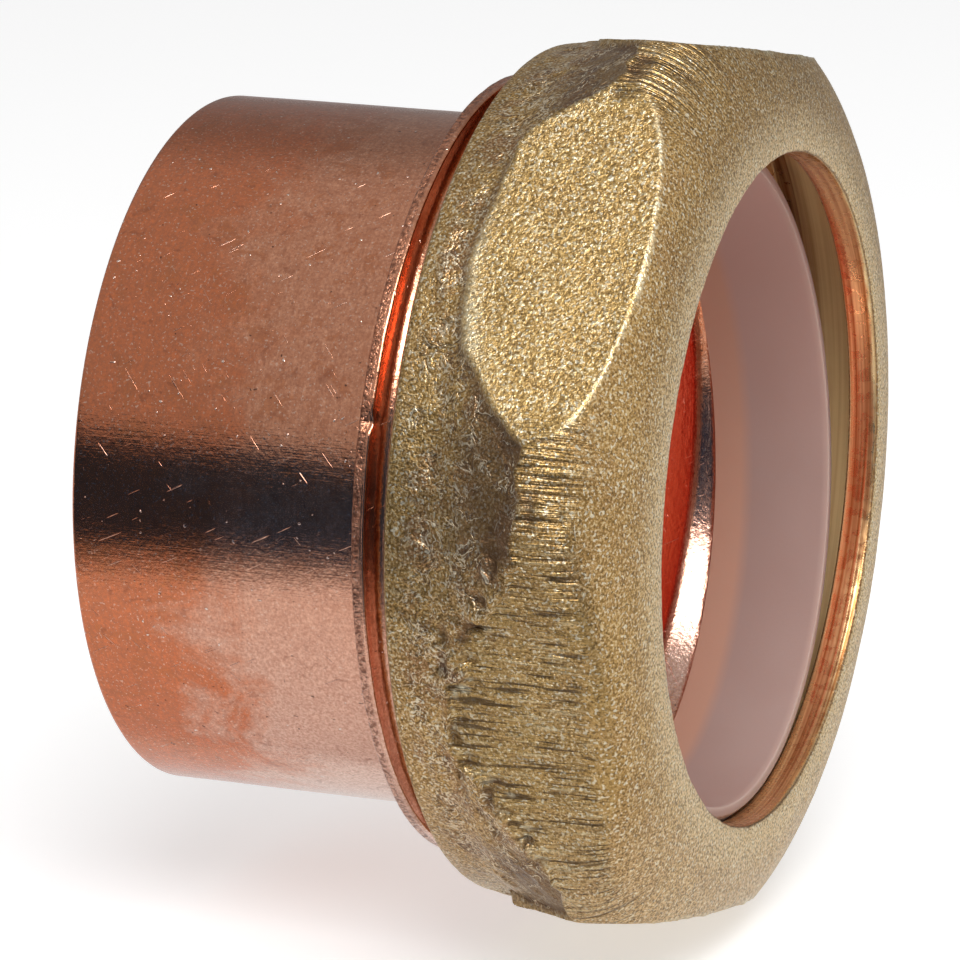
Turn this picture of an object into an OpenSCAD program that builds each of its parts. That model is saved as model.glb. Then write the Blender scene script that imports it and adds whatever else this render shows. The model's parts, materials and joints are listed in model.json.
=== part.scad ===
// Slip-joint adapter for 1-1/2 in drain, waste and vent copper: a wrot copper
// body, a forged brass slip nut and a bevelled sealing washer.
// The fitting's axis lies along +X and the origin is the centre of the plain
// end's face. All sizes are in millimetres.

/* [Fitting end] */
// Outside diameter of the plain end that solders into a hub
fitting_od = 41.28; // [41.1:0.01:41.4]
// Length of the plain end, from its face to the collar
fitting_length = 18.4; // [17:0.1:18.6]
// Wall of the copper
wall = 1.07; // [0.9:0.01:1.2]

/* [Collar] */
// Outside diameter of the upset collar that the nut runs up to
collar_od = 46.4; // [45.6:0.1:46.8]
// Thickness of the collar
collar_width = 0.8; // [0.6:0.1:1.2]
// Diameter of the relief between the collar and the thread
relief_od = 44.6; // [44.4:0.1:45]
// Size of the slope at the foot of the collar
relief_slope = 0.5; // [0.3:0.1:0.7]

/* [Slip-joint thread] */
// Threads per inch
threads_per_inch = 11.5; // [11:0.5:12]
// Outside diameter over the body's thread
thread_od = 47.4; // [47.2:0.1:47.5]
// Height of the thread above its root
thread_depth = 1.05; // [0.9:0.05:1.1]
// Turns of thread on the body
body_turns = 2.75; // [2:0.25:2.75]
// Turns of thread in the nut
nut_turns = 3; // [2:0.25:3]
// Radial gap between the two threads
thread_gap = 0.2; // [0.15:0.05:0.25]
// Axial gap on each flank of the thread
flank_gap = 0.15; // [0.12:0.01:0.18]

/* [Mouth] */
// Length of the copper body, from face to face
body_length = 28; // [27.8:0.1:28.2]
// Depth of the taper that the washer seats in
seat_depth = 3.9; // [3.6:0.1:4.2]
// Diameter of that taper at the rim
seat_rim_d = 42.6; // [42.2:0.1:43]

/* [Slip nut] */
// Distance across the hexagon's flats
nut_flats = 50.8; // [50.6:0.1:52]
// Largest diameter, over the rounded corners
nut_crown = 56.6; // [56:0.1:58]
// Diameter of the back edge
nut_back_od = 50.2; // [49.6:0.1:50.4]
// Diameter of the back band where it meets the flats
nut_band_od = 50.7; // [50.4:0.1:51.6]
// Distance from the plain end's face to the nut's back face
nut_back = 21; // [20.9:0.1:21.6]
// Length of the nut
nut_length = 14.7; // [14:0.1:14.8]
// Turn of the hexagon about the axis, in degrees
nut_angle = 48; // [0:1:59]
// Diameter of the opening that the tube slips through
opening_d = 39.5; // [39:0.1:40]
// Thickness of the lip around the opening
lip_depth = 1.9; // [1.7:0.1:2.4]

/* [Washer] */
// Inside diameter of the washer, a slip fit on 1-1/2 in tube
washer_id = 38.3; // [38.2:0.05:38.6]
// Largest diameter of the washer
washer_od = 42.6; // [42.2:0.1:43.6]
// Diameter of the washer's thin nose
washer_nose_od = 39.8; // [39.2:0.1:40]
// Length of the washer
washer_length = 7.4; // [7:0.1:7.8]
// Diameter of the washer's edge behind the nut's lip
washer_edge_od = 39.8; // [39.7:0.1:40]
// Length of the bevel behind the nut's lip
washer_edge_bevel = 2; // [1.8:0.1:2.1]

/* [Hidden] */
// Facets of a full circle, where the round surface isn't kept exact
$fn = 96;
// Bevel of the small edges
edge = 0.3;

// Copper body
fitting_r = fitting_od / 2;
bore_r = fitting_r - wall;
collar_r = collar_od / 2;
relief_r = relief_od / 2;
seat_rim_r = seat_rim_d / 2;
seat_x = body_length - seat_depth;
seat_slope = (seat_rim_r - bore_r) / seat_depth;
collar_end = fitting_length + collar_width;
relief_end = collar_end + 1;

// Thread: a trapezoid ridge on the body and its mate in the nut
pitch = 25.4 / threads_per_inch;
thread_r = thread_od / 2;
root_r = thread_r - thread_depth;
flank_slope = 0.32;
body_crest = 0.28;
root_sink = 0.25;
steps_per_turn = 40;
fade_steps = 14;
nut_major_r = thread_r + thread_gap;
nut_minor_r = root_r + thread_gap;
nut_crest = pitch / 2 - body_crest - flank_slope * (thread_r - nut_minor_r) - flank_gap;
thread_end = body_length - 0.95;
helix_x = thread_end - body_turns * pitch;
nut_first_step = 12;

// Slip nut: a back band, a back cone up to the crown, and a front dome whose
// section is a quarter of an ellipse
nut_front = nut_back + nut_length;
nut_back_r = nut_back_od / 2;
crown_r = nut_crown / 2;
opening_r = opening_d / 2;
band_x = nut_back + 0.22 * nut_length;
crown_x = nut_back + 0.61 * nut_length;
lip_x = nut_front - lip_depth;
lip_edge_r = opening_r + 0.5;
dome_step = 15;
mouth_bevel = 0.6;
past = 1;

// Sealing washer, 0.1 mm clear of the lip. Its long taper matches the seat's.
washer_r = washer_id / 2;
nose_r = washer_nose_od / 2;
washer_crest_r = washer_od / 2;
washer_edge_r = washer_edge_od / 2;
washer_end = lip_x - 0.1;
nose_x = washer_end - washer_length;
taper_length = (washer_crest_r - nose_r) / seat_slope;

// Turns a profile of [x, radius] points about the X axis
module turned(profile) {
    rotate([90, 0, 90])
        rotate_extrude()
            polygon([for (p = profile) [p[1], p[0]]]);
}

// Cross-section of a thread ridge at one step of its helix. The ridge stands
// on base_r and its crest reaches tip_r, except where it fades at its ends.
function ridge_section(step, x0, base_r, tip_r, crest, grown) =
    let (
        turn = 360 * step / steps_per_turn,
        x = x0 + pitch * step / steps_per_turn,
        foot_r = base_r + (tip_r > base_r ? root_sink : -root_sink),
        crest_r = foot_r + (tip_r - foot_r) * grown,
        crest_half = crest + flank_slope * abs(tip_r - crest_r),
        base_half = crest + flank_slope * abs(tip_r - base_r),
        corners = [[-base_half, base_r], [-crest_half, crest_r], [crest_half, crest_r], [base_half, base_r]]
    )
    [for (c = corners) [x + c[0], -c[1] * sin(turn), c[1] * cos(turn)]];

// Right-handed thread ridge about the X axis
module ridge(x0, first_step, turns, base_r, tip_r, crest) {
    n = round(turns * steps_per_turn);
    outward = tip_r > base_r;
    points = [
        for (i = [0:n])
            let (grown = max(0.02, min(1, min(i, n - i) / fade_steps)))
            each ridge_section(first_step + i, x0, base_r, tip_r, crest, grown)
    ];
    sides = [
        for (i = [0:n - 1], j = [0:3])
            let (a = 4 * i + j, b = 4 * i + (j + 1) % 4)
            outward ? [a, b, b + 4, a + 4] : [a, a + 4, b + 4, b]
    ];
    ends = outward
        ? [[3, 2, 1, 0], [for (j = [0:3]) 4 * n + j]]
        : [[0, 1, 2, 3], [for (j = [3:-1:0]) 4 * n + j]];
    polyhedron(points, concat(sides, ends), convexity = 4);
}

// Plain end, collar, relief and threaded mouth with its tapered seat
module copper_shell() {
    turned([
        [0, bore_r],
        [0, fitting_r - edge],
        [edge, fitting_r],
        [fitting_length, fitting_r],
        [fitting_length, collar_r - edge / 2],
        [fitting_length + edge / 2, collar_r],
        [collar_end - edge / 2, collar_r],
        [collar_end, collar_r - edge / 2],
        [collar_end, relief_r + relief_slope],
        [collar_end + relief_slope, relief_r],
        [relief_end, relief_r],
        [relief_end + edge, root_r],
        [body_length - edge, root_r],
        [body_length, root_r - edge],
        [body_length, seat_rim_r],
        [seat_x, bore_r]
    ]);
}

module copper_body() {
    color("#b5694a")
        union() {
            copper_shell();
            ridge(helix_x, 0, body_turns, root_r - root_sink, thread_r, body_crest);
        }
}

// A point on the front dome, from the crown at 0 degrees to the lip at 90
function dome_point(a) = [
    crown_x + (nut_front - crown_x) * sin(a),
    lip_edge_r + (crown_r - lip_edge_r) * cos(a)
];

// Outside of the nut: a hexagon cut by the band, the back cone and the dome
module nut_blank() {
    intersection() {
        turned([
            [nut_back, 0],
            [nut_back, nut_back_r - edge],
            [nut_back + edge, nut_back_r],
            [band_x, nut_band_od / 2],
            for (a = [0:dome_step:90]) dome_point(a),
            [nut_front, 0]
        ]);
        translate([nut_back - past, 0, 0])
            rotate([nut_angle, 0, 0])
                rotate([90, 0, 90])
                    cylinder(d = nut_flats / cos(30), h = nut_length + 2 * past, $fn = 6);
    }
}

// Threaded chamber behind the lip, bevelled at its mouth
module nut_chamber() {
    turned([
        [nut_back - past, 0],
        [nut_back - past, nut_major_r + mouth_bevel],
        [nut_back, nut_major_r + mouth_bevel],
        [nut_back + mouth_bevel, nut_major_r],
        [lip_x, nut_major_r],
        [lip_x, 0]
    ]);
}

module slip_nut() {
    color("#b39a55")
        union() {
            difference() {
                nut_blank();
                nut_chamber();
                translate([lip_x - past, 0, 0])
                    rotate([0, 90, 0])
                        cylinder(r = opening_r, h = lip_depth + 2 * past);
            }
            ridge(helix_x + pitch / 2, nut_first_step, nut_turns,
                nut_major_r + root_sink, nut_minor_r, nut_crest);
        }
}

module sealing_washer() {
    color("#d8d2cc")
        turned([
            [nose_x, washer_r],
            [nose_x, nose_r],
            [nose_x + taper_length, washer_crest_r],
            [washer_end - washer_edge_bevel, washer_crest_r],
            [washer_end, washer_edge_r],
            [washer_end, washer_r]
        ]);
}

copper_body();
slip_nut();
sealing_washer();
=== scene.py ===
"""Looks of the slip-joint adapter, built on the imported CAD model.

Shapes are worked out in millimetres about the fitting's axis, +X, and written in metres.
An angle phi round the axis starts at +Z and turns towards -Y, the side that faces the camera.
"""

import itertools
import json
import math

import bpy
import numpy as np
from mathutils import Matrix, Vector


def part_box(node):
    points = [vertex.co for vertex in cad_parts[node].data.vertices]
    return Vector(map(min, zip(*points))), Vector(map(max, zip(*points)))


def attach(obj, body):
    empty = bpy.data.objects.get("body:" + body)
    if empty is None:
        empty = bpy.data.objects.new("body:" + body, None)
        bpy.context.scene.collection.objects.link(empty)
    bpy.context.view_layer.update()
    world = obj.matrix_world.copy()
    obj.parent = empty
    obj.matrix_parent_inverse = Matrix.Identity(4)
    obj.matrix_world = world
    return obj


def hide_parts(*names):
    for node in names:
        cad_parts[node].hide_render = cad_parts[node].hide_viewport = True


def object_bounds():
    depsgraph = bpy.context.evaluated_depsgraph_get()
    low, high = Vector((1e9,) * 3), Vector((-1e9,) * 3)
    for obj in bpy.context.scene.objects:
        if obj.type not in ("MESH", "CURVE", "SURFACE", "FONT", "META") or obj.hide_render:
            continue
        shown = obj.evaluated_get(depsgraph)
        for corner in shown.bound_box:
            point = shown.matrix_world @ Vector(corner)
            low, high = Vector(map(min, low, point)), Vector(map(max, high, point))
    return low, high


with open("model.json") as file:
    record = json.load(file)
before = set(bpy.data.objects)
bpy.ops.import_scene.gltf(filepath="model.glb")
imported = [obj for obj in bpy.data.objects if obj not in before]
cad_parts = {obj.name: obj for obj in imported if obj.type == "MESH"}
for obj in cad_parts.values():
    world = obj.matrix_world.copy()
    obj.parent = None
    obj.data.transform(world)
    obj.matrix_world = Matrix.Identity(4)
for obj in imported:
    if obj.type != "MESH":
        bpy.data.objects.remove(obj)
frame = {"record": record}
cad_low, cad_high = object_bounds()

MM = 0.001
TAU = 2 * math.pi


# ---------------------------------------------------------------- sizes, from the frame

def node_span(name):
    """Lowest x, highest x and largest radius of a CAD node, in millimetres."""
    low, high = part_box(name)
    return low.x / MM, high.x / MM, max(high.y, high.z) / MM


mounts = {m["name"]: m["dims"] for m in frame["record"]["mounts"]}
PLAIN_R = mounts["plain_end"]["r_mm"]
PLAIN_LENGTH = mounts["plain_end"]["length_mm"]
WASHER_BORE_R = mounts["slip_joint"]["r_mm"]
_, BODY_END, THREAD_R = node_span("copper_body")
NUT_BACK, NUT_FRONT, _ = node_span("slip_nut")
NOSE_X, WASHER_END, WASHER_R = node_span("sealing_washer")

# Copper body
WALL = 1.07
COLLAR_R = PLAIN_R + 2.56
COLLAR_WIDTH = 0.8
RELIEF_R = 22.2
RELIEF_LENGTH = 1.5
THREAD_DEPTH = 1.05
ROOT_R = THREAD_R - THREAD_DEPTH
SEAT_RIM_R = 21.3
SEAT_DEPTH = 3.9
BORE_R = PLAIN_R - WALL

# Thread: both ridges lie on one helix, half a pitch apart
PITCH = 25.4 / 11.5
BODY_TURNS = 2.75
NUT_TURNS = 3.0
NUT_FIRST_TURN = 0.3
FADE_TURNS = 0.35
BODY_CREST = 0.28
FLANK_SLOPE = 0.32
THREAD_GAP = 0.2
FLANK_GAP = 0.15
HELIX_X = BODY_END - 0.95 - BODY_TURNS * PITCH
NUT_MAJOR_R = THREAD_R + THREAD_GAP
NUT_MINOR_R = ROOT_R + THREAD_GAP
NUT_CREST = PITCH / 2 - BODY_CREST - FLANK_SLOPE * (THREAD_R - NUT_MINOR_R) - FLANK_GAP

# Slip nut
FLAT_R = 25.4
FLAT_SHIFT = (0.2, 0.1, -0.5, 0.0, 0.0, 0.0)
CROWN_R = 28.25
OPENING_R = 19.75
LIP_DEPTH = 1.9
LIP_X = NUT_FRONT - LIP_DEPTH
LIP_EDGE_R = OPENING_R + 0.5
CROWN_X = NUT_BACK + 0.61 * (NUT_FRONT - NUT_BACK)
BACK_R = 25.1
BAND_RISE = 0.1
CONE_SLOPE = 0.40
CONE_FOOT_SLOPE = 0.9
LEDGE = 0.42
FIRST_FLAT = math.radians(48)
SIXTH = TAU / 6


# ---------------------------------------------------------------- small maths

def smooth(t):
    """Ease from 0 to 1."""
    t = np.clip(t, 0, 1)
    return t * t * (3 - 2 * t)


def soft_min(a, b, width):
    """The smaller of a and b, with the corner between them rounded over width."""
    h = np.clip(0.5 + 0.5 * (b - a) / width, 0, 1)
    return b + (a - b) * h - width * h * (1 - h)


def lattice(cell, seed):
    """Repeatable random values from -1 to 1 at whole-number cells."""
    mixed = cell[..., 0] * 73856093 ^ cell[..., 1] * 19349663 ^ cell[..., 2] * 83492791
    mixed = (mixed ^ seed * 2654435761) & 0xFFFFFFFF
    for _ in range(2):
        mixed = ((mixed ^ (mixed >> 15)) * 2246822519) & 0xFFFFFFFF
    mixed ^= mixed >> 13
    return mixed / 0x7FFFFFFF - 1


def noise(points, size, seed):
    """Smooth noise from -1 to 1 whose bumps are about size across."""
    scaled = points / size
    cell = np.floor(scaled).astype(np.int64)
    part = smooth(scaled - cell)
    total = 0
    for corner in itertools.product((0, 1), repeat=3):
        weight = 1
        for axis, side in enumerate(corner):
            weight = weight * (part[..., axis] if side else 1 - part[..., axis])
        total = total + weight * lattice(cell + np.array(corner), seed)
    return total


def around(x, r, phi):
    """Points at distance r from the axis and angle phi round it."""
    return np.stack([x, -r * np.sin(phi), r * np.cos(phi)], axis=-1)


# ---------------------------------------------------------------- outlines and meshes

ARC_STEP = math.radians(22)


def outline(corners):
    """Points round a closed outline with rounded corners.

    Each corner is (x, r, rounding, step), and step spaces the points up to the next corner.
    """
    count = len(corners)
    arcs = []
    for i, (x, r, rounding, _) in enumerate(corners):
        here = np.array([x, r])
        before = np.array(corners[i - 1][:2]) - here
        after = np.array(corners[(i + 1) % count][:2]) - here
        before /= np.linalg.norm(before)
        after /= np.linalg.norm(after)
        half = math.acos(float(np.clip(before @ after, -1, 1))) / 2
        reach = rounding / math.tan(half)
        centre = here + (before + after) / np.linalg.norm(before + after) * rounding / math.sin(half)
        start = here + before * reach - centre
        stop = here + after * reach - centre
        sweep = math.atan2(start[0] * stop[1] - start[1] * stop[0], start @ stop)
        pieces = max(2, math.ceil(abs(sweep) / ARC_STEP))
        arc = []
        for k in range(pieces + 1):
            turn = sweep * k / pieces
            c, s = math.cos(turn), math.sin(turn)
            arc.append(centre + np.array([c * start[0] - s * start[1], s * start[0] + c * start[1]]))
        arcs.append(arc)
    points = []
    for i, arc in enumerate(arcs):
        points.extend(arc)
        a, b = arc[-1], arcs[(i + 1) % count][0]
        pieces = max(1, round(np.linalg.norm(b - a) / corners[i][3]))
        points.extend(a + (b - a) * k / pieces for k in range(1, pieces))
    return np.array(points)


def ring_angles(count):
    """Evenly spaced angles round the axis."""
    return np.arange(count) * TAU / count


def ring_faces(first, second, n_first, n_second):
    """Faces between two rings of points. The counts are equal, or one is twice the other."""
    k = np.arange(min(n_first, n_second))
    if n_first == n_second:
        nxt = (k + 1) % n_first
        return np.stack([first + k, first + nxt, second + nxt, second + k], axis=1).tolist()
    widens = n_first < n_second
    if widens:
        first, second, n_first, n_second = second, first, n_second, n_first
    f0, f1, f2 = first + 2 * k, first + 2 * k + 1, first + (2 * k + 2) % n_first
    c0, c1 = second + k, second + (k + 1) % n_second
    sets = [(f0, f1, c0), (f1, c1, c0), (f1, f2, c1)]
    faces = np.concatenate([np.stack(s, axis=1) for s in sets])
    return (faces[:, ::-1] if widens else faces).tolist()


def ring_mesh(name, rings, shades=()):
    """A closed mesh from rings of points, in millimetres, each joined to the next and the last to the first.

    A ring is its points, or its points and a dictionary of values that the material reads, named in shades.
    """
    rings = [ring if isinstance(ring, tuple) else (ring, {}) for ring in rings]
    sizes = [len(points) for points, _ in rings]
    starts = np.cumsum([0] + sizes)
    faces = []
    for i, size in enumerate(sizes):
        j = (i + 1) % len(rings)
        faces.extend(ring_faces(int(starts[i]), int(starts[j]), size, sizes[j]))
    mesh = bpy.data.meshes.new(name)
    mesh.from_pydata((np.concatenate([points for points, _ in rings]) * MM).tolist(), [], faces)
    mesh.update()
    mesh.validate()
    volume = sum(p.center.dot(p.normal) * p.area for p in mesh.polygons)
    if volume < 0:
        mesh.flip_normals()
    mesh.polygons.foreach_set("use_smooth", [True] * len(mesh.polygons))
    for shade in shades:
        values = [np.broadcast_to(extra.get(shade, 0.0), size) for (_, extra), size in zip(rings, sizes)]
        layer = mesh.attributes.new(shade, "FLOAT", "POINT")
        layer.data.foreach_set("value", np.concatenate(values).astype(np.float32))
    obj = bpy.data.objects.new(name, mesh)
    bpy.context.scene.collection.objects.link(obj)
    return obj


# ---------------------------------------------------------------- thread

def ridge(x, phi, helix_x, first, turns, crest, height):
    """Height of a helical ridge above its root at points of a surface."""
    turn = (phi % TAU) / TAU
    steps = np.round((x - helix_x) / PITCH - turn)
    place = steps + turn
    away = np.abs(x - helix_x - place * PITCH)
    fade = np.clip(np.minimum(place - first, first + turns - place) / FADE_TURNS, 0, 1)
    return np.clip((crest + FLANK_SLOPE * height - away) / FLANK_SLOPE, 0, height * fade)


# ---------------------------------------------------------------- surface noise

def waves(where, *layers):
    """Noise added up from layers of (height, size across, seed)."""
    return sum(height * noise(where, size, seed) for height, size, seed in layers)


# ---------------------------------------------------------------- copper body

COPPER_POINTS = 480
DRAWN_WAVES = ((0.035, 14, 1), (0.012, 4, 2))
THREAD_START = 1.0
THREAD_EASE = 0.3
RIM_START_R = PLAIN_R + 1.6
RIM_EASE = 0.6
RIM_WAVE = (0.03, 2.5, 4)
SAW_GRIT = (0.022, 0.5, 3)
SAW_SQUEEZE = 1.5
NICK_PHI = math.radians(70.8)
NICK_X = PLAIN_LENGTH + 0.6
NICK_WIDTH = 0.3
NICK_LENGTH = 0.35
NICK_DEPTH = 0.4


def collar_marks(r, xs, rs, phi, where):
    """Height of the marks on the collar's rim: sawn grit, a slow wave and one nick."""
    rim = smooth((r - RIM_START_R) / RIM_EASE)
    grit = waves(np.stack([xs * SAW_SQUEEZE, phi * COLLAR_R, rs], axis=-1), SAW_GRIT)
    nick = np.exp(-(((phi - NICK_PHI) * COLLAR_R / NICK_WIDTH) ** 2) - ((xs - NICK_X) / NICK_LENGTH) ** 2)
    return rim * (grit + waves(where, RIM_WAVE)) - NICK_DEPTH * nick


def build_copper():
    """The tube, one ring for each point of its outline: out along the outside and back through the bore."""
    collar_end = PLAIN_LENGTH + COLLAR_WIDTH
    relief_end = collar_end + RELIEF_LENGTH
    corners = [
        (0, BORE_R, 0.15, 0.35),
        (0, PLAIN_R, 0.3, 0.42),
        (PLAIN_LENGTH, PLAIN_R, 0.2, 0.4),
        (PLAIN_LENGTH, COLLAR_R, 0.2, 0.16),
        (collar_end, COLLAR_R, 0.2, 0.2),
        (collar_end + 0.28, RELIEF_R, 1.0, 0.2),
        (relief_end, RELIEF_R, 0.1, 0.2),
        (relief_end + 0.15, ROOT_R, 0.1, 0.135),
        (BODY_END, ROOT_R, 0.25, 0.2),
        (BODY_END, SEAT_RIM_R, 0.08, 0.3),
        (BODY_END - SEAT_DEPTH, BORE_R, 1.6, 1.3),
    ]
    phi = ring_angles(COPPER_POINTS)
    rings = []
    for x, r in outline(corners):
        xs = np.full_like(phi, x)
        rs = np.full_like(phi, r)
        on_tube = x < PLAIN_LENGTH + 0.3 and r > PLAIN_R - 0.35
        past_tube = r > SEAT_RIM_R + 0.8
        on_collar = abs(x - PLAIN_LENGTH - COLLAR_WIDTH / 2) < COLLAR_WIDTH and r > PLAIN_R + 0.6
        on_thread = smooth((x - collar_end - THREAD_START) / THREAD_EASE)
        on_thread *= smooth((BODY_END - x) / THREAD_EASE)
        # The outside is marked; the bore and the seat stay smooth
        if on_tube or past_tube:
            where = around(xs, rs, phi)
            rs = rs + waves(where, *DRAWN_WAVES)
            if on_thread > 0:
                rs = rs + on_thread * ridge(xs, phi, HELIX_X, 0, BODY_TURNS, BODY_CREST, THREAD_DEPTH)
            if on_collar:
                rs = rs + collar_marks(r, xs, rs, phi, where)
        sawn = smooth((r - COLLAR_R + 0.2) / 0.1) * smooth((collar_end - 0.15 - x) / 0.1)
        # Marks the bore, which the material paints crimson as a painted reflection of the copper round it
        bore = float(r < BORE_R + 0.02 and x > BODY_END / 2)
        rings.append((around(xs, rs, phi), {"sawn": sawn, "bore": bore}))
    return ring_mesh("copper_body_fine", rings, ("sawn", "bore"))


# ---------------------------------------------------------------- slip nut

# The flats that are torn by shearing; the other three are struck clean
SHEARED = (1, 3, 4)
NUT_POINTS = 1080
NUT_SHADES = ("pad", "dirt", "shine", "scored", "face", "cut", "deep", "band")
STEP_WIDTH = 0.16
BACK_ROUND = 0.45
FLAT_WAVE = (0.03, 4, 11)
SKIN_WAVE = (0.04, 3.2, 15)
PIT_SHARE = 0.6

# Behind the crown: the cone's edge on a flat, and the forged band below it
CLEAN_BULGE = 0.5
CLEAN_BULGE_SIDE = -8.2
CLEAN_EDGE = (0.05, 1.1, 20)
TORN_LAG = 0.75
TORN_EDGE = ((0.5, 2.6, 14), (0.25, 0.9, 19))
TORN_DEPTH = 0.36
RIM_RISE = 0.03
FLAKES = ((1.0, 1.3, 32), (0.5, 0.6, 33))
FLAKE_RISE = 0.1
BACK_GRAIN = (0.022, 0.8, 16)

# Ahead of the crown: the dome and the lip
BURR_RISE = 0.1
BURR_WIDTH = 0.11
CHIP_DEPTH = 0.22
FRONT_GRAIN = (0.018, 0.8, 16)
LIP_GRAIN = (0.02, 0.9, 17)
NIBBLE = (1.0, 0.8, 18)
NIBBLE_RISE = 0.06

# The crown wanders by this much along x, and the noise runs round it at about its radius
RAGGED_X = (0.3, 0.7, 28)
RAGGED_R = 26


def flat_of(phi):
    """Which flat an angle belongs to, counted from the first, and the angle from that flat's middle."""
    turn = phi - FIRST_FLAT + SIXTH / 2
    index = np.floor(turn / SIXTH).astype(int) % 6
    return index, (turn % SIXTH) - SIXTH / 2


def flat_surface(where, index, delta):
    """Radius of the flats at angles delta from their middles."""
    return (FLAT_R + np.array(FLAT_SHIFT)[index]) / np.cos(delta) + waves(where, FLAT_WAVE)


def cone(x):
    """Turned outside behind the crown: a shallow cone with a steep foot."""
    shallow = CROWN_R - CONE_SLOPE * (CROWN_X - x)
    return np.minimum(shallow, FLAT_R - 0.15 + CONE_FOOT_SLOPE * (x - NUT_BACK - 2.8))


def pits(where):
    """Depth, from 0 to 1, of torn pits."""
    return np.clip(waves(where, (1.0, 0.75, 24), (0.6, 1.7, 25)) - 0.2, 0, PIT_SHARE) / PIT_SHARE


def nut_behind(x, phi):
    """Radius and shading of the nut between its back face and its crown."""
    index, delta = flat_of(phi)
    side = FLAT_R * np.tan(delta)
    xs = np.full_like(phi, x)
    where = around(xs, np.full_like(phi, FLAT_R), phi)
    sheared = np.isin(index, SHEARED)
    flat = flat_surface(where, index, delta)

    # The cone's edge across the flat, late and torn on a sheared one
    bulge = CLEAN_BULGE * np.exp(-(((side - CLEAN_BULGE_SIDE) / 2.3) ** 2))
    edge = cone(xs) + np.where(sheared, 0, bulge)
    torn_late = (TORN_LAG + waves(where, *TORN_EDGE)) * smooth((12.5 - np.abs(side)) / 3.0)
    late = np.where(sheared, torn_late, waves(where, CLEAN_EDGE))
    gap = edge - late - flat
    above = smooth(gap / STEP_WIDTH + 0.5)

    # The band below the edge, and the flat or the cone above it
    band = BACK_R + BAND_RISE * (x - NUT_BACK)
    band = -soft_min(-np.full_like(phi, band), -(cone(xs) - LEDGE), 0.7)
    band = np.minimum(band, flat + 0.9)
    out = band + (np.minimum(flat, edge) - band) * above

    # Tears on the sheared flats, a bright rim on the clean ones, and scale on the band
    scored = above * sheared * smooth((13 - np.abs(side)) / 2)
    near = smooth((gap + 0.9) / 0.5) * smooth((0.9 - gap) / 0.7)
    torn = pits(where) * sheared * near
    lit = smooth((side + 4) / 6) * smooth((9 - side) / 3) * smooth((CROWN_X - 3.2 - x) / 1.5)
    rim = np.exp(-((gap / 0.3 - 0.9) ** 2)) * ~sheared * (0.15 + 0.85 * lit)
    foot = np.exp(-((gap / 0.2 + 1.0) ** 2)) * ~sheared
    between = (1 - above) * smooth((x - NUT_BACK - 0.6) / 1.2)
    flake = smooth(waves(where, *FLAKES) / 0.35)
    out = out - TORN_DEPTH * torn + RIM_RISE * rim + FLAKE_RISE * flake * between
    out = out + waves(where, SKIN_WAVE, BACK_GRAIN)

    # Painted shade in the hollows between flats, at the foot of each clean flat's edge and in the torn pits;
    # a painted highlight on the rims and on ragged lips along the torn edges
    hollow = smooth((np.abs(side) - 8) / 4) * smooth((x - CROWN_X + 6) / 3) * (1 - above)
    lip = np.exp(-(((gap - 0.3) / 0.2) ** 2)) * sheared * np.clip(5 * noise(where, 0.35, 30) - 2, 0, 1)
    dirt = np.clip(0.8 * hollow + 0.55 * foot + 1.2 * torn, 0, 1)
    shine = np.clip(0.5 * rim + lip, 0, 1)
    shade = {"pad": above, "dirt": dirt, "shine": shine, "scored": scored, "band": between}
    return out, shade


def nut_ahead(x, r, phi):
    """Radius and shading of the nut's front dome."""
    index, delta = flat_of(phi)
    side = FLAT_R * np.tan(delta)
    where = around(np.full_like(phi, x), np.full_like(phi, r + FLAT_R - CROWN_R), phi)
    sheared = np.isin(index, SHEARED)
    flat = flat_surface(where, index, delta)
    cut = np.where(sheared, soft_min(r, flat, 1.5), soft_min(r, flat, 0.18))
    pad = smooth((r - flat) / 0.25 + 0.5) * np.where(sheared, 0.6, 1)

    # Torn lines run a little way on to the dome from a sheared flat, and fan out from every corner
    corner = smooth((np.abs(side) - 8.5) / 3.0)
    reach = smooth((CROWN_X + 3.6 + waves(where, (0.5, 1.5, 26)) - x) / 1.2)
    fan = smooth((CROWN_X + 5.4 - x) / 3.5) * corner
    scored = np.clip(reach * sheared + 0.8 * fan * ~sheared, 0, 1)

    # A burr along the top of a clean flat, and chips at the corners
    chipped = pits(where) * corner * smooth((CROWN_X + 1.8 - x) / 1.5)
    burr = np.exp(-(((r - flat) / BURR_WIDTH) ** 2)) * ~sheared
    burr = burr * smooth((11.5 - np.abs(side)) / 3) * (0.7 + waves(where, (0.5, 0.8, 27)))
    out = cut + BURR_RISE * burr - CHIP_DEPTH * chipped + waves(where, SKIN_WAVE, FRONT_GRAIN)
    # The chips get painted shade, and the burr a painted highlight
    shade = {"pad": pad, "dirt": np.clip(chipped, 0, 1), "shine": np.clip(burr, 0, 1), "scored": scored}
    return out, shade


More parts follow.
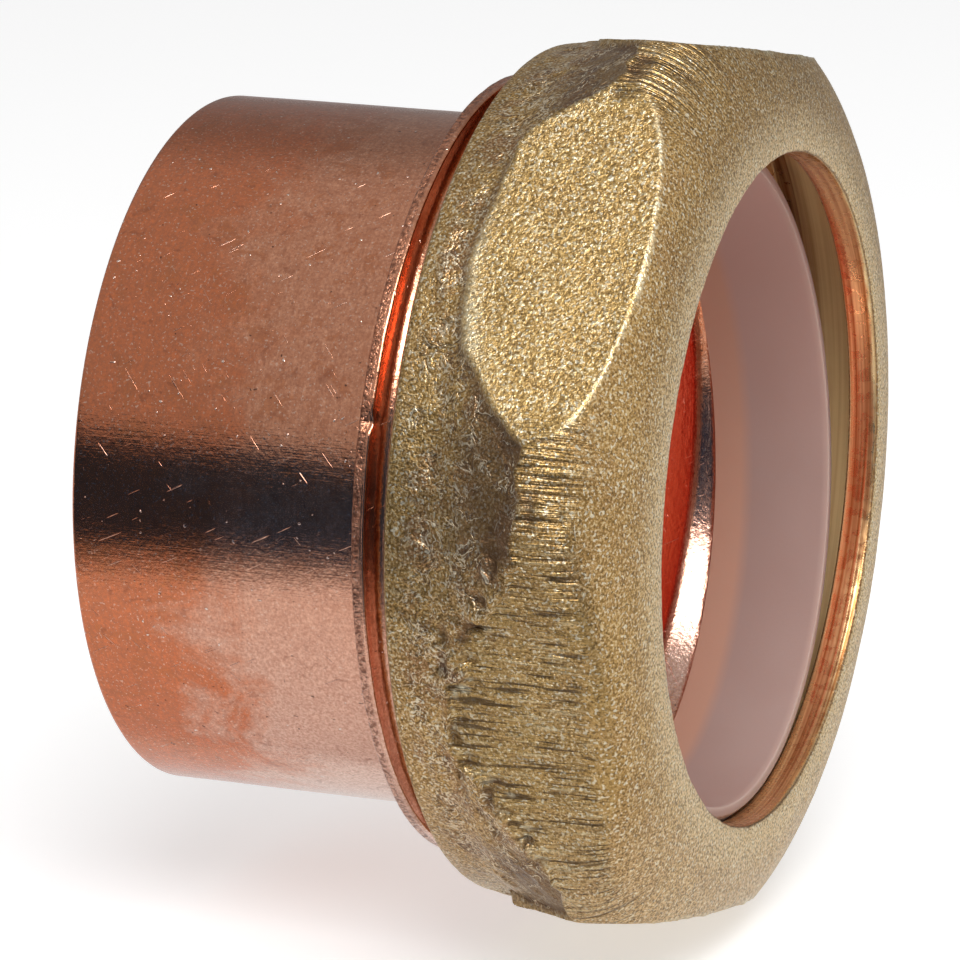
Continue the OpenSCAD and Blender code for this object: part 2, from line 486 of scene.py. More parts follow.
def nut_outside(fine, middle):
    """Rings from the nut's back face over its crown and its dome to the inside edge of its lip.

    The first is a middle one, because the mouth's last coarse ring closes on to it.
    """
    rings = []
    for r, angles in ((24.35, middle), (24.6, fine)):
        rings.append(around(np.full_like(angles, NUT_BACK), np.full_like(angles, r), angles))
    ragged = waves(np.stack([fine * RAGGED_R, fine * 0, fine * 0], axis=-1), RAGGED_X)
    for x in np.linspace(NUT_BACK, CROWN_X, 35)[:-1]:
        into = max(0, BACK_ROUND - (x - NUT_BACK))
        drop = BACK_ROUND - math.sqrt(BACK_ROUND**2 - into**2)
        out, shade = nut_behind(x, fine)
        xs = x + ragged * smooth((x - CROWN_X + 0.8) / 0.8)
        rings.append((around(xs, out - drop, fine), shade))
    turns = np.concatenate([np.linspace(0, 45, 24), np.linspace(48, 88, 12)])
    for a in np.radians(turns):
        x = CROWN_X + (NUT_FRONT - CROWN_X) * math.sin(a)
        r = LIP_EDGE_R + (CROWN_R - LIP_EDGE_R) * math.cos(a)
        out, shade = nut_ahead(x, r, fine)
        calm = smooth((r - LIP_EDGE_R - 0.2) / 3.0)
        where = around(np.full_like(fine, x), np.full_like(fine, r), fine)
        xs = x + (1 - calm) * waves(where, LIP_GRAIN) + ragged * smooth((CROWN_X + 1.2 - x) / 1.2)
        # The front face, which the material paints lighter as painted fill light
        shade["face"] = 1 - calm
        rings.append((around(xs, r + (out - r) * calm, fine), shade))
    nibble = waves(around(np.zeros_like(fine), np.full_like(fine, OPENING_R), fine), NIBBLE)
    nibble = NIBBLE_RISE * np.maximum(nibble, -0.2)
    at_front = np.full_like(fine, NUT_FRONT)
    rings.append((around(at_front, OPENING_R + 0.14 + nibble, fine), {"face": 1.0}))
    # Painted shade in the corner just inside the lip's front edge
    rings.append((around(at_front - 0.06, OPENING_R + 0.05 + nibble, fine), {"dirt": 1.0}))
    x, r = np.full_like(middle, NUT_FRONT - 0.2), np.full_like(middle, OPENING_R)
    rings.append((around(x, r, middle), {"cut": 1.0}))
    return rings


def nut_inside(coarse):
    """Rings from the lip's opening through the chamber and its thread to the mouth at the back."""
    turned = {"cut": 1.0}
    # Painted shade in the corner where the lip's face meets the opening
    shaded_corner = {"cut": 0.3, "dirt": 1.0}
    opening = [
        (NUT_FRONT - 0.6, OPENING_R, turned),
        (NUT_FRONT - 1.2, OPENING_R, turned),
        (LIP_X + 0.2, OPENING_R, turned),
        (LIP_X + 0.05, OPENING_R + 0.05, shaded_corner),
        (LIP_X, OPENING_R + 0.2, turned),
    ]
    mouth = NUT_BACK + 0.6
    chamber = [(LIP_X, 21), (LIP_X, 22.4), (LIP_X, NUT_MAJOR_R - 0.3), (LIP_X - 0.1, NUT_MAJOR_R - 0.08)]
    chamber += [(x, NUT_MAJOR_R) for x in (LIP_X - 0.3, LIP_X - 1.5, LIP_X - 2.7)]
    chamber += [(x, NUT_MAJOR_R) for x in np.arange(LIP_X - 3.9, mouth, -0.2)]
    chamber += [(mouth, NUT_MAJOR_R), (NUT_BACK + 0.3, NUT_MAJOR_R + 0.15), (NUT_BACK, NUT_MAJOR_R + 0.3)]
    rings = [
        (around(np.full_like(coarse, x), np.full_like(coarse, r), coarse), shade)
        for x, r, shade in opening
    ]
    for x, r in chamber:
        xs = np.full_like(coarse, x)
        rs = np.full_like(coarse, r)
        if r > NUT_MAJOR_R - 0.01 and x < LIP_X - 0.9:
            taper = smooth((x - NUT_BACK) / 0.5)
            mate_x = HELIX_X + PITCH / 2
            depth = NUT_MAJOR_R - NUT_MINOR_R
            rs = rs - taper * ridge(xs, coarse, mate_x, NUT_FIRST_TURN, NUT_TURNS, NUT_CREST, depth)
        deep = 1.0 if x > LIP_X - 3 else 0.15
        rings.append((around(xs, rs, coarse), {"cut": 1.0, "deep": deep}))
    return rings


def build_nut():
    """The nut, with its rings finest where the forging's edges are and coarsest in its thread."""
    fine, middle, coarse = (ring_angles(count) for count in (NUT_POINTS, NUT_POINTS // 2, NUT_POINTS // 4))
    rings = nut_outside(fine, middle) + nut_inside(coarse)
    return ring_mesh("slip_nut_forged", rings, NUT_SHADES)


# ---------------------------------------------------------------- washer

WASHER_POINTS = 288
WASHER_TILT = math.radians(4.3)
WASHER_BACK_OFF = 1.05
WASHER_NOSE_R = 19.5
WASHER_EDGE_R = 19.7
WASHER_EDGE_BEVEL = 2.0
WASHER_WAVE = (0.012, 6, 31)
THIN_LENGTH = 2.5


def build_washer():
    """The washer, loose behind the lip: its top leans back into the seat."""
    taper = (WASHER_R - WASHER_NOSE_R) * SEAT_DEPTH / (SEAT_RIM_R - BORE_R)
    corners = [
        (NOSE_X, WASHER_BORE_R, 0.06, 0.3),
        (NOSE_X, WASHER_NOSE_R, 0.06, 0.4),
        (NOSE_X + taper, WASHER_R, 0.3, 0.3),
        (WASHER_END - WASHER_EDGE_BEVEL, WASHER_R, 0.3, 0.3),
        (WASHER_END, WASHER_EDGE_R, 0.12, 0.2),
        (WASHER_END, WASHER_BORE_R, 0.07, 0.4),
    ]
    phi = ring_angles(WASHER_POINTS)
    middle = (NOSE_X + WASHER_END) / 2
    lean = np.array([
        [math.cos(WASHER_TILT), 0, -math.sin(WASHER_TILT)],
        [0, 1, 0],
        [math.sin(WASHER_TILT), 0, math.cos(WASHER_TILT)],
    ])
    rings = []
    for x, r in outline(corners):
        where = around(np.full_like(phi, x), np.full_like(phi, r), phi)
        points = around(np.full_like(phi, x - middle), r + waves(where, WASHER_WAVE), phi) @ lean.T
        points[:, 0] += middle - WASHER_BACK_OFF
        # The thin nose and the front edge, which the material paints with warm copper light and a highlight
        thin = smooth((NOSE_X + THIN_LENGTH - x) / 0.9)
        front = smooth((x - WASHER_END + 0.2) / 0.15) * smooth((WASHER_BORE_R + 0.25 - r) / 0.1)
        rings.append((points, {"thin": thin, "front": front}))
    return ring_mesh("sealing_washer_soft", rings, ("thin", "front"))


# ---------------------------------------------------------------- materials

class Nodes:
    """A few short words for building a node material."""

    def __init__(self, name):
        self.material = bpy.data.materials.new(name)
        self.material.use_nodes = True
        self.tree = self.material.node_tree
        self.shader = self.tree.nodes["Principled BSDF"]
        self.coords = self.tree.nodes.new("ShaderNodeTexCoord").outputs["Object"]

    def add(self, kind, **inputs):
        """A new node. A name in lower case is a property, any other is an input with _ for its spaces."""
        node = self.tree.nodes.new("ShaderNode" + kind)
        for key, value in inputs.items():
            if key[0].islower():
                setattr(node, key, value)
            else:
                self.put(node.inputs[key.replace("_", " ")], value)
        return node

    def put(self, socket, value):
        """Link a socket to another one, or set it to a plain value."""
        if isinstance(value, bpy.types.NodeSocket):
            self.tree.links.new(value, socket)
        else:
            socket.default_value = value

    def set(self, **inputs):
        """Set inputs of the shader, with _ for the spaces in their names."""
        for key, value in inputs.items():
            self.put(self.shader.inputs[key.replace("_", " ")], value)

    def attribute(self, name):
        """A value that the mesh carries."""
        return self.add("Attribute", attribute_name=name).outputs["Fac"]

    def along(self, axis, start_mm, stop_mm):
        """Goes from 0 to 1 as a point's coordinate goes from start to stop."""
        split = self.add("SeparateXYZ")
        self.put(split.inputs[0], self.coords)
        node = self.add("MapRange", From_Min=start_mm * MM, From_Max=stop_mm * MM)
        self.put(node.inputs["Value"], split.outputs[axis])
        return node.outputs[0]

    def scaled(self, x, y=None, z=None):
        """Object coordinates with x, y and z cells per millimetre."""
        y = x if y is None else y
        z = x if z is None else z
        node = self.add("Mapping")
        self.put(node.inputs["Vector"], self.coords)
        node.inputs["Scale"].default_value = (x / MM, y / MM, z / MM)
        return node.outputs["Vector"]

    def slanted(self, x, y, z, lean):
        """Object coordinates like scaled, first turned by lean about the y axis."""
        turned = self.add("VectorRotate", rotation_type="Y_AXIS")
        self.put(turned.inputs["Vector"], self.scaled(1))
        self.put(turned.inputs["Angle"], lean)
        size = self.add("VectorMath", operation="MULTIPLY")
        self.put(size.inputs[0], turned.outputs[0])
        size.inputs[1].default_value = (x, y, z)
        return size.outputs[0]

    def lengthways(self, along, across):
        """Coordinates for marks along the axis, with cells per mm of x and cells per mm of arc."""
        flat = self.add("VectorMath", operation="MULTIPLY")
        self.put(flat.inputs[0], self.coords)
        flat.inputs[1].default_value = (0, 1, 1)
        unit = self.add("VectorMath", operation="NORMALIZE")
        self.put(unit.inputs[0], flat.outputs[0])
        spread = self.add("VectorMath", operation="MULTIPLY")
        self.put(spread.inputs[0], unit.outputs[0])
        spread.inputs[1].default_value = (0, across * FLAT_R, across * FLAT_R)
        both = self.add("VectorMath", operation="MULTIPLY_ADD")
        self.put(both.inputs[0], self.coords)
        both.inputs[1].default_value = (along / MM, 0, 0)
        self.put(both.inputs[2], spread.outputs[0])
        return both.outputs[0]

    def cloud(self, per_mm, detail, rough, distort=0.0, offset=0.0):
        """Even noise with per_mm cells per millimetre; another offset gives another pattern."""
        vector = self.scaled(per_mm)
        node = self.add("TexNoise", Detail=detail, Roughness=rough, Distortion=distort, Scale=1.0)
        if offset:
            shift = self.add("VectorMath", operation="ADD")
            self.put(shift.inputs[0], vector)
            shift.inputs[1].default_value = (offset, offset * 1.7, offset * 2.3)
            vector = shift.outputs[0]
        self.put(node.inputs["Vector"], vector)
        return node.outputs["Fac"]

    def streaks(self, vector, detail, rough):
        """Noise over stretched coordinates."""
        node = self.add("TexNoise", Detail=detail, Roughness=rough, Scale=1.0)
        self.put(node.inputs["Vector"], vector)
        return node.outputs["Fac"]

    def ramp(self, value, *stops):
        """Colour ramp; each stop is (place, grey or colour)."""
        node = self.add("ValToRGB")
        elements = node.color_ramp.elements
        while len(elements) < len(stops):
            elements.new(0.5)
        for element, (place, shade) in zip(elements, stops):
            element.position = place
            element.color = (*shade, 1) if isinstance(shade, tuple) else (shade, shade, shade, 1)
        self.put(node.inputs["Fac"], value)
        return node.outputs["Color"]

    def rise(self, value, low, high):
        """0 below low, 1 above high."""
        return self.ramp(value, (low, 0.0), (high, 1.0))

    def fall(self, value, low, high):
        """1 below low, 0 above high."""
        return self.ramp(value, (low, 1.0), (high, 0.0))

    def line(self, value, at, width):
        """1 where value is at, and 0 beyond half of width to either side."""
        return self.ramp(value, (at - width / 2, 0.0), (at, 1.0), (at + width / 2, 0.0))

    def mix(self, share, a, b):
        """From colour a, at share 0, to colour b, at share 1."""
        node = self.add("Mix", data_type="RGBA")
        sockets = {s.identifier: s for s in node.inputs}
        self.put(sockets["Factor_Float"], share)
        self.put(sockets["A_Color"], (*a, 1) if isinstance(a, tuple) else a)
        self.put(sockets["B_Color"], (*b, 1) if isinstance(b, tuple) else b)
        return node.outputs[2]

    def paint(self, tint, *layers):
        """Lays colours over tint, one after another, each (mask, share, colour)."""
        for mask, share, colour in layers:
            tint = self.mix(self.times(mask, share), tint, colour)
        return tint

    def math(self, operation, a, b):
        """One step of arithmetic on two values."""
        node = self.add("Math", operation=operation)
        self.put(node.inputs[0], a)
        self.put(node.inputs[1], b)
        return node.outputs[0]

    def times(self, a, b):
        return self.math("MULTIPLY", a, b)

    def plus(self, a, b):
        return self.math("ADD", a, b)

    def minus(self, a, b):
        return self.math("SUBTRACT", a, b)

    def bump(self, height, distance_mm, strength, normal=None):
        """Bumps distance_mm high, on top of those in normal."""
        node = self.add("Bump", Distance=distance_mm * MM, Height=height)
        self.put(node.inputs["Strength"], strength)
        if normal is not None:
            self.put(node.inputs["Normal"], normal)
        return node.outputs["Normal"]


# The copper's metal, then what has marked it, and painted light: the paler underside, the glint and the
# crimson reflection in the bore
COPPER_ORANGE = (0.90, 0.265, 0.11)
COPPER_PINK = (1.0, 0.49, 0.30)
COPPER_PAINTED_FLOOR_REFLECTION = (0.95, 0.67, 0.55)
COPPER_STAIN = (0.66, 0.21, 0.07)
COPPER_MOTTLE = (0.58, 0.20, 0.10)
COPPER_BRUSHED = (0.54, 0.21, 0.11)
COPPER_DULL_GRAIN = (0.46, 0.18, 0.11)
COPPER_BRIGHT_GRAIN = (1.0, 0.74, 0.60)
COPPER_SPOT = (0.3, 0.1, 0.06)
COPPER_SPECK = (0.10, 0.05, 0.04)
COPPER_SAW_MARK = (0.20, 0.08, 0.05)
COPPER_SCRATCH = (0.95, 0.66, 0.54)
COPPER_GLINT = (1.0, 0.84, 0.74)
COPPER_BORE_REFLECTION = (0.80, 0.275, 0.19)


def copper_material():
    """Bright copper with a mottled tarnish and drawing marks, rough on the collar's sawn edge."""
    m = Nodes("wrot_copper")
    sawn = m.attribute("sawn")

    # Scratches of two slants, and short bright glints
    left = m.rise(m.streaks(m.slanted(8, 0.6, 0.35, 0.75), 1, 0.5), 0.76, 0.80)
    right = m.rise(m.streaks(m.slanted(0.35, 0.6, 8, 0.45), 1, 0.5), 0.75, 0.79)
    scratch = m.math("MAXIMUM", left, right)
    glint = m.rise(m.cloud(3.3, 0, 0.5, offset=31), 0.83, 0.86)

    # Orange metal, pinker towards the collar and painted paler towards the bottom as a painted reflection of
    # the floor, with what has marked it
    blotch = m.times(m.cloud(0.16, 5, 0.7, distort=0.5), 1.1)
    pink = m.rise(m.plus(blotch, m.times(m.along("X", 2, 18), 0.8)), 0.78, 1.0)
    stain = m.rise(m.cloud(0.5, 4, 0.65, distort=0.8, offset=17), 0.56, 0.61)
    mottle = m.rise(m.cloud(1.6, 4, 0.75, distort=0.3, offset=23), 0.34, 0.66)
    brushed = m.rise(m.streaks(m.scaled(6, 0.5, 0.5), 2, 0.7), 0.35, 0.65)
    # Painted reflection of the floor: paler towards the bottom
    pale = m.times(m.along("Z", 3, -16), pink)
    dull_grain = m.rise(m.cloud(5.5, 2, 0.7), 0.34, 0.66)
    bright_grain = m.rise(m.cloud(6.5, 1, 0.6, offset=9), 0.62, 0.74)
    spot = m.rise(m.cloud(0.8, 2, 0.7, distort=0.7, offset=11), 0.64, 0.7)
    speck = m.rise(m.cloud(3.2, 1, 0.5, distort=0.2, offset=5), 0.74, 0.8)
    saw_mark = m.times(sawn, m.fall(m.cloud(4.0, 2, 0.7, offset=13), 0.40, 0.58))
    tint = m.paint(
        m.mix(pink, COPPER_ORANGE, COPPER_PINK),
        (stain, 0.55, COPPER_STAIN),
        (mottle, 0.6, COPPER_MOTTLE),
        (brushed, 0.4, COPPER_BRUSHED),
        (pale, 0.95, COPPER_PAINTED_FLOOR_REFLECTION),
        (dull_grain, 0.6, COPPER_DULL_GRAIN),
        (bright_grain, 0.5, COPPER_BRIGHT_GRAIN),
        (spot, 0.35, COPPER_SPOT),
        (speck, 0.8, COPPER_SPECK),
        (saw_mark, 0.8, COPPER_SAW_MARK),
        (scratch, 0.45, COPPER_SCRATCH),
        (glint, 0.8, COPPER_GLINT),
        # Painted reflection: the bore's crimson of copper seen in copper
        (m.attribute("bore"), 1.0, COPPER_BORE_REFLECTION),
    )
    haze = m.ramp(m.cloud(0.35, 4, 0.6, distort=0.2, offset=3), (0.3, 0.13), (0.75, 0.2))
    m.set(Base_Color=tint, Metallic=1.0, Roughness=m.plus(haze, m.times(sawn, 0.15)))

    # Drawing marks both ways, grain, scratches and the sawn edge
    relief = m.bump(m.streaks(m.scaled(0.3, 9, 9), 3, 0.6), 0.012, 0.6)
    relief = m.bump(m.streaks(m.scaled(9, 0.3, 0.3), 3, 0.6), 0.008, 0.6, relief)
    relief = m.bump(m.cloud(3.0, 3, 0.6), 0.03, 0.6, relief)
    relief = m.bump(m.math("MAXIMUM", scratch, glint), 0.03, 0.6, relief)
    m.set(Normal=m.bump(m.cloud(4.0, 2, 0.6, offset=13), 0.12, sawn, relief))
    return m.material


# The forged skin, what marks it, the painted light and shade on it, and the cut metal of the opening and the
# chamber
BRASS_DULL = (0.53, 0.32, 0.105)
BRASS_WARM = (0.64, 0.40, 0.14)
BRASS_OLD = (0.37, 0.19, 0.095)
BRASS_FLOOR_LIGHT = (0.86, 0.62, 0.38)
BRASS_FACE_FILL_LIGHT = (0.80, 0.58, 0.31)
BRASS_PAD = (0.66, 0.46, 0.17)
BRASS_HOLE_SHADE = (0.17, 0.10, 0.03)
BRASS_TIP_HIGHLIGHT = (0.98, 0.86, 0.56)
BRASS_CRACK_AND_GROOVE_SHADE = (0.10, 0.06, 0.03)
BRASS_CREST_HIGHLIGHT = (0.95, 0.80, 0.50)
BRASS_SPARK = (1.0, 0.94, 0.74)
BRASS_PAINTED_SHADE = (0.16, 0.085, 0.045)
BRASS_FOLD = (0.10, 0.06, 0.05)
BRASS_FLECK = (1.0, 0.88, 0.66)
BRASS_SHINE = (1.0, 0.94, 0.70)
TURNED_DARK = (0.52, 0.22, 0.075)
TURNED_LIGHT = (1.0, 0.72, 0.38)
TURNED_DEEP = (1.0, 0.72, 0.34)


def brass_material():
    """Sand-grained forged brass with painted shade in its hollows and painted light on its grain, edges,
    front face and underside, machined bright where it is cut.
    """
    m = Nodes("forged_brass")
    pad, dirt, shine, scored, face, turned, deep, band = (m.attribute(name) for name in NUT_SHADES)

    # Patterns: sand grain, bolder on a clean flat, torn lines, folded scale and lathe marks
    bold = m.times(pad, m.minus(1.0, m.times(scored, 0.5)))
    grain = m.mix(bold, m.cloud(6.5, 1, 0.6), m.cloud(4.3, 2, 0.7, distort=0.2, offset=2))
    coarse = m.cloud(1.7, 2, 0.5, offset=7)
    lines = m.streaks(m.lengthways(0.22, 3.3), 2, 0.65)
    scale = m.cloud(0.75, 3, 0.65, distort=0.5, offset=37)
    patchy = m.times(band, m.rise(m.cloud(0.5, 2, 0.5, offset=41), 0.42, 0.52))
    lathe = m.streaks(m.scaled(4.5, 0.05, 0.05), 1, 0.6)

    # Forged skin, painted lighter below and on the front face, with dots and sparks of sand, sand grain
    # painted dark in its pits and bright on its tips, torn lines painted dark in their grooves and bright on
    # their crests, painted shade in hollows and corners, and a broken painted shine on edges
    skin = m.ramp(m.cloud(0.12, 3, 0.5, offset=3), (0.35, BRASS_DULL), (0.65, BRASS_WARM))
    old = m.rise(m.cloud(0.4, 4, 0.65, distort=0.4, offset=19), 0.45, 0.62)
    old = m.plus(m.times(old, m.plus(m.times(band, 0.5), 0.2)), 0.12)
    tip_highlight = m.times(m.rise(grain, 0.54, 0.66), m.plus(m.times(pad, 0.3), 0.45))
    broken = m.ramp(m.cloud(3.5, 1, 0.6, offset=33), (0.44, 0.35), (0.58, 1.0))
    skin = m.paint(
        skin,
        (old, 1.0, BRASS_OLD),
        # Painted light from the floor: lighter towards the bottom
        (m.along("Z", -12, -26), 0.6, BRASS_FLOOR_LIGHT),
        # Painted fill light: the front face painted lighter
        (face, 1.0, BRASS_FACE_FILL_LIGHT),
        (pad, 0.3, BRASS_PAD),
        # Sand grain painted dark in its pits and bright on its tips: painted shade and painted highlights
        (m.fall(grain, 0.38, 0.5), 0.65, BRASS_HOLE_SHADE),
        (tip_highlight, 1.0, BRASS_TIP_HIGHLIGHT),
        (m.fall(m.cloud(6, 0, 0.5, offset=27), 0.28, 0.36), 0.55, BRASS_CRACK_AND_GROOVE_SHADE),
        (m.rise(m.cloud(5.5, 0, 0.5, offset=29), 0.64, 0.72), 0.6, BRASS_SPARK),
        # Torn lines painted dark in their grooves and bright on their crests: painted shade and painted
        # highlights
        (m.times(m.fall(lines, 0.37, 0.45), scored), 0.85, BRASS_CRACK_AND_GROOVE_SHADE),
        (m.times(m.rise(lines, 0.58, 0.7), scored), 0.5, BRASS_CREST_HIGHLIGHT),
        # Painted shade in hollows, step feet, pits and corners
        (dirt, 0.8, BRASS_PAINTED_SHADE),
        (m.times(m.line(scale, 0.475, 0.05), patchy), 0.7, BRASS_FOLD),
        (m.times(m.line(scale, 0.52, 0.04), patchy), 0.85, BRASS_FLECK),
        (m.times(shine, broken), 0.9, BRASS_SHINE),
    )
    bright = m.mix(m.rise(lathe, 0.35, 0.65), TURNED_DARK, TURNED_LIGHT)
    bright = m.paint(bright, (deep, 0.75, TURNED_DEEP))
    m.set(Base_Color=m.mix(turned, skin, bright), Metallic=m.minus(0.92, m.times(deep, 0.85)))
    rough = m.minus(m.ramp(coarse, (0.3, 0.30), (0.7, 0.46)), m.times(turned, 0.1))
    m.set(Roughness=m.plus(rough, m.times(deep, 0.25)))

    # Sand, torn lines and scale stand up on the forged skin, and lathe marks where it is cut
    strength = m.times(m.minus(1.0, turned), m.plus(m.times(pad, 0.35), 0.65))
    relief = m.bump(coarse, 0.07, m.times(strength, 0.5))
    relief = m.bump(grain, 0.11, strength, relief)
    relief = m.bump(lines, 0.5, scored, relief)
    relief = m.bump(scale, 0.45, patchy, relief)
    m.set(Normal=m.bump(lathe, 0.02, turned, relief))
    return m.material


# The washer's plastic, painted dark and copper-tinted as painted shade inside the nut, with painted light at
# its top, warm painted copper light on its nose and a painted highlight along its front edge
MILK_SHADED_DULL = (0.38, 0.255, 0.225)
MILK_SHADED_CLEAR = (0.41, 0.29, 0.26)
MILK_TOP_LIGHT = (0.56, 0.35, 0.30)
MILK_NOSE_COPPER_LIGHT = (0.55, 0.31, 0.22)
MILK_EDGE_HIGHLIGHT = (0.55, 0.42, 0.36)


def washer_material():
    """Frosted polyethylene in painted shade; its thin nose is painted with the warm light of the copper
    behind it.
    """
    m = Nodes("washer_plastic")
    milk = m.ramp(m.cloud(0.09, 2, 0.5), (0.35, MILK_SHADED_DULL), (0.65, MILK_SHADED_CLEAR))
    tint = m.paint(
        milk,
        (m.along("Z", -4, 18), 1.0, MILK_TOP_LIGHT),
        (m.attribute("thin"), 0.85, MILK_NOSE_COPPER_LIGHT),
        (m.attribute("front"), 0.35, MILK_EDGE_HIGHLIGHT),
    )
    m.set(Base_Color=tint, Roughness=0.55, Specular_IOR_Level=0.15)
    m.set(Subsurface_Weight=0.35, Subsurface_Scale=1.5 * MM, Subsurface_Radius=(1.0, 0.7, 0.6))
    m.set(Normal=m.bump(m.cloud(5, 3, 0.6), 0.012, 0.5))
    return m.material


def card_material(name, shade):
    """An even glow, for a flag or a card that only reflections see."""
    material = bpy.data.materials.new(name)
    material.use_nodes = True
    tree = material.node_tree
    tree.nodes.clear()
    glow = tree.nodes.new("ShaderNodeEmission")
    glow.inputs["Color"].default_value = (*shade, 1)
    out = tree.nodes.new("ShaderNodeOutputMaterial")
    tree.links.new(glow.outputs[0], out.inputs[0])
    return material


# ---------------------------------------------------------------- pieces

def place(piece, material, node, slot, body):
    """Give a piece its material, and let it stand for a CAD node and ride on a body."""
    piece.data.materials.append(material)
    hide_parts(node)
    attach(piece, body)


place(build_copper(), copper_material(), node="copper_body", slot="copper", body="body")
place(build_nut(), brass_material(), node="slip_nut", slot="forged_brass", body="nut")
place(build_washer(), washer_material(), node="sealing_washer", slot="washer_plastic", body="washer")


# ---------------------------------------------------------------- stage

# From here on lengths are in metres and angles in degrees; azimuth runs from +X towards +Y
FLOOR_Z = cad_low.z - 0.0002
FLOOR_REACH = 6.0
FLOOR_SHADE = 0.78
FLOOR_LIFT = 0.44
CARD_GAP = 0.0002


def build_floor():
    """A pale matt floor that the camera sees a little brighter than it is lit."""
    material = bpy.data.materials.new("pale_floor")
    material.use_nodes = True
    tree = material.node_tree
    shader = tree.nodes["Principled BSDF"]
    shader.inputs["Base Color"].default_value = (FLOOR_SHADE, FLOOR_SHADE, FLOOR_SHADE, 1)
    shader.inputs["Roughness"].default_value = 0.7
    shader.inputs["Specular IOR Level"].default_value = 0.1
    shader.inputs["Emission Color"].default_value = (1, 1, 1, 1)
    seen = tree.nodes.new("ShaderNodeLightPath")
    lift = tree.nodes.new("ShaderNodeMath")
    lift.operation = "MULTIPLY"
    lift.inputs[1].default_value = FLOOR_LIFT
    tree.links.new(seen.outputs["Is Camera Ray"], lift.inputs[0])
    tree.links.new(lift.outputs[0], shader.inputs["Emission Strength"])
    mesh = bpy.data.meshes.new("floor")
    signs = ((-1, -1), (1, -1), (1, 1), (-1, 1))
    mesh.from_pydata([(x * FLOOR_REACH, y * FLOOR_REACH, FLOOR_Z) for x, y in signs], [], [(0, 1, 2, 3)])
    floor = bpy.data.objects.new("floor", mesh)
    mesh.materials.append(material)
    bpy.context.scene.collection.objects.link(floor)


def only_reflected(obj):
    """Put an object on the stage that nothing but reflections can see."""
    obj.visible_camera = False
    obj.visible_diffuse = False
    obj.visible_shadow = False
    obj.visible_transmission = False
    bpy.context.scene.collection.objects.link(obj)


def panel(name, corners, shade):
    """A flat flag or card that only reflections see."""
    mesh = bpy.data.meshes.new(name)
    mesh.from_pydata([tuple(c) for c in corners], [], [tuple(range(len(corners)))])
    mesh.materials.append(card_material(name, shade))
    only_reflected(bpy.data.objects.new(name, mesh))


def floor_panel(name, azimuth, near, far, width, shade):
    """A panel that lies on the floor between two distances from the origin."""
    spin = Matrix.Rotation(math.radians(azimuth), 3, "Z")
    height = Vector((0, 0, FLOOR_Z + CARD_GAP))
    flat = ((near, -width / 2), (far, -width / 2), (far, width / 2), (near, width / 2))
    panel(name, [height + spin @ Vector((x, y, 0)) for x, y in flat], shade)


FLAG_FAR = 0.125
FLAG_NEAR = 0.077
FLAG_EDGE = 0.058
FLAG_SHADE = (0.026, 0.050, 0.095)
PENUMBRA_SHADE = (0.34, 0.34, 0.34)


def build_flag(name, azimuth, width, top):
    """A dark flag in front of the object, with a foot on the floor and the foot's soft edge."""
    spin = Matrix.Rotation(math.radians(azimuth), 3, "Z")
    upright = ((-width / 2, FLOOR_Z), (width / 2, FLOOR_Z), (width / 2, top), (-width / 2, top))
    panel(name, [spin @ Vector((FLAG_FAR, y, z)) for y, z in upright], FLAG_SHADE)
    floor_panel(name + "_foot", azimuth, FLAG_NEAR, FLAG_FAR, width, FLAG_SHADE)
    floor_panel(name + "_edge", azimuth, FLAG_EDGE, FLAG_NEAR, width, PENUMBRA_SHADE)


GLOW_R = 19.2
GLOW_X = -0.5
GLOW_POINTS = 48
GLOW_SHADE = (0.9, 0.75, 0.75)
UNDER_GLOW_SHADE = (0.78, 0.78, 0.78)


def build_end_glow():
    """A pale disc across the plain end, sized in millimetres, that lights the bore's reflections."""
    ring = [(GLOW_R * math.cos(a), GLOW_R * math.sin(a)) for a in ring_angles(GLOW_POINTS)]
    panel("end_glow", [Vector((GLOW_X, y, z)) * MM for y, z in ring], GLOW_SHADE)


# ---------------------------------------------------------------- light

def direction(azimuth, elevation):
    """Unit vector towards a place in the studio."""
    a, e = math.radians(azimuth), math.radians(elevation)
    return Vector((math.cos(a) * math.cos(e), math.sin(a) * math.cos(e), math.sin(e)))


def area_light(name, azimuth, elevation, distance, width, height, power):
    """A soft box that faces the origin."""
    light = bpy.data.lights.new(name, "AREA")
    light.shape = "RECTANGLE"
    light.size = width
    light.size_y = height
    light.energy = power
    obj = bpy.data.objects.new(name, light)
    toward = direction(azimuth, elevation)
    obj.location = toward * distance
    obj.rotation_mode = "QUATERNION"
    obj.rotation_quaternion = toward.to_track_quat("Z", "Y")
    bpy.context.scene.collection.objects.link(obj)


WORLD_LOW = 0.42
WORLD_MID = 0.48
WORLD_TOP = 0.50
WORLD_BACK = 0.26
BACKDROP = 0.93


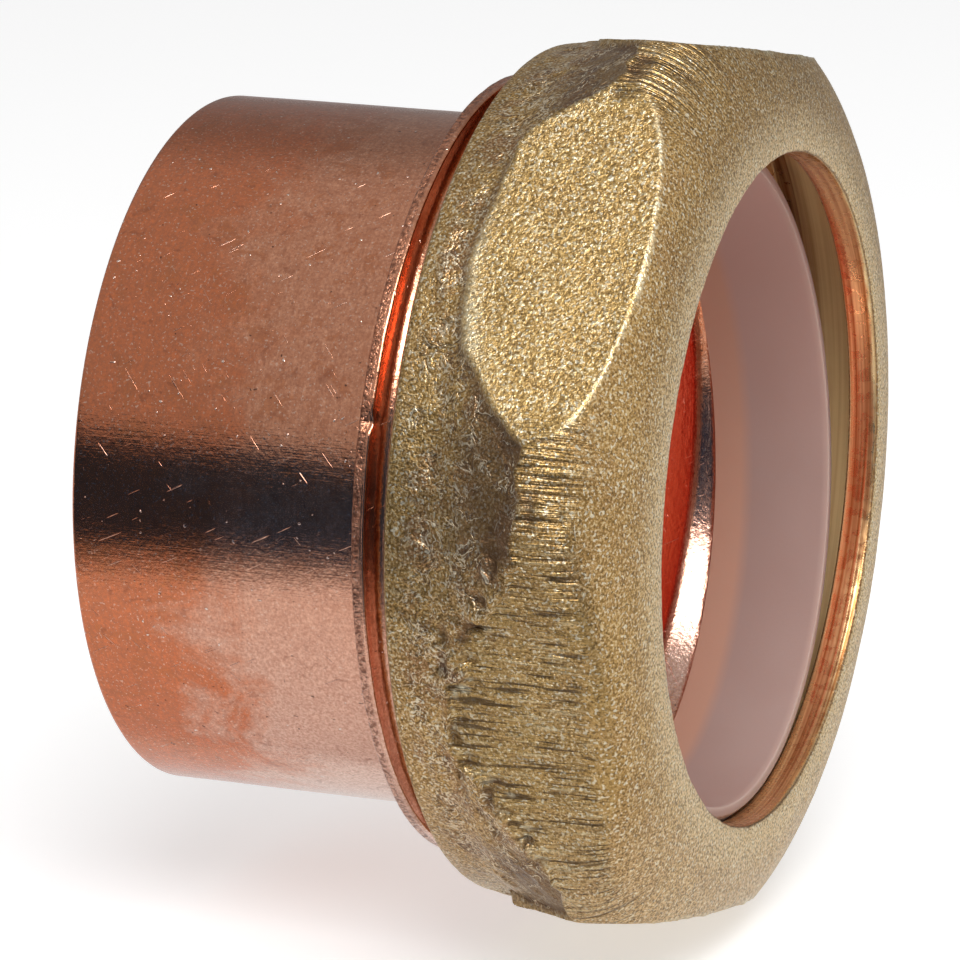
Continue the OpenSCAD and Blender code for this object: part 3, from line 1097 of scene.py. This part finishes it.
def build_world():
    """White behind the object for the camera, and a studio that is dimmer at the back for everything else."""
    world = bpy.data.worlds.new("studio")
    bpy.context.scene.world = world
    world.use_nodes = True
    tree = world.node_tree
    tree.nodes.clear()
    coords = tree.nodes.new("ShaderNodeTexCoord")
    split = tree.nodes.new("ShaderNodeSeparateXYZ")
    tree.links.new(coords.outputs["Generated"], split.inputs[0])
    depth = tree.nodes.new("ShaderNodeMapRange")
    depth.inputs["From Min"].default_value = 0.3
    depth.inputs["From Max"].default_value = 0.7
    depth.interpolation_type = "SMOOTHSTEP"
    tree.links.new(split.outputs["Y"], depth.inputs["Value"])
    height = tree.nodes.new("ShaderNodeValToRGB")
    stops = [(0.0, WORLD_LOW), (0.5, WORLD_MID), (1.0, WORLD_TOP)]
    height.color_ramp.elements.new(0.5)
    for element, (at, level) in zip(height.color_ramp.elements, stops):
        element.position = at
        element.color = (level, level, level, 1)
    tree.links.new(split.outputs["Z"], height.inputs[0])

    def mixed(share, first, level):
        """From first to an even grey."""
        mix = tree.nodes.new("ShaderNodeMix")
        mix.data_type = "RGBA"
        sockets = {s.identifier: s for s in mix.inputs}
        tree.links.new(share, sockets["Factor_Float"])
        tree.links.new(first, sockets["A_Color"])
        sockets["B_Color"].default_value = (level, level, level, 1)
        return mix.outputs[2]

    studio = mixed(depth.outputs[0], height.outputs[0], WORLD_BACK)
    seen = tree.nodes.new("ShaderNodeLightPath")
    both = mixed(seen.outputs["Is Camera Ray"], studio, BACKDROP)
    back = tree.nodes.new("ShaderNodeBackground")
    tree.links.new(both, back.inputs["Color"])
    out = tree.nodes.new("ShaderNodeOutputWorld")
    tree.links.new(back.outputs[0], out.inputs[0])


# ---------------------------------------------------------------- camera

# Its place, in degrees and millimetres: how far round from -Y, how high, how far away from the origin,
# and how far to the right of the origin and above it the camera looks
CAMERA_AZIMUTH = 21.24
CAMERA_ELEVATION = 14.39
CAMERA_DISTANCE = 361.07
CAMERA_RIGHT = 16.01
CAMERA_UP = -2.64
CAMERA_LENS = 223.7
SENSOR_WIDTH = 36


def build_camera():
    """The camera at the photograph's viewing angle."""
    a, e = math.radians(CAMERA_AZIMUTH), math.radians(CAMERA_ELEVATION)
    back = Vector((math.sin(a) * math.cos(e), -math.cos(a) * math.cos(e), math.sin(e)))
    right = Vector((math.cos(a), math.sin(a), 0))
    up = Vector((-math.sin(a) * math.sin(e), math.cos(a) * math.sin(e), math.cos(e)))
    data = bpy.data.cameras.new("camera")
    data.lens = CAMERA_LENS
    data.sensor_width = SENSOR_WIDTH
    data.clip_start = 0.01
    data.clip_end = 100
    camera = bpy.data.objects.new("camera", data)
    camera.rotation_mode = "QUATERNION"
    camera.location = (right * CAMERA_RIGHT + up * CAMERA_UP + back * CAMERA_DISTANCE) * MM
    camera.rotation_quaternion = (-back).to_track_quat("-Z", "Y")
    bpy.context.scene.collection.objects.link(camera)
    bpy.context.scene.camera = camera


build_floor()
build_world()
area_light("key", azimuth=-60, elevation=46, distance=0.55, width=0.30, height=0.30, power=2.35)
area_light("fill", azimuth=20, elevation=22, distance=0.6, width=0.4, height=0.5, power=0.4)
build_flag("left_flag", azimuth=-121, width=0.17, top=0.0285)
build_flag("camera_flag", azimuth=-60, width=0.085, top=0.08)
floor_panel("under_glow", azimuth=90, near=-0.01, far=0.15, width=0.15, shade=UNDER_GLOW_SHADE)
build_end_glow()
build_camera()
scene = bpy.context.scene
scene.view_settings.view_transform = "Standard"
scene.view_settings.look = "None"
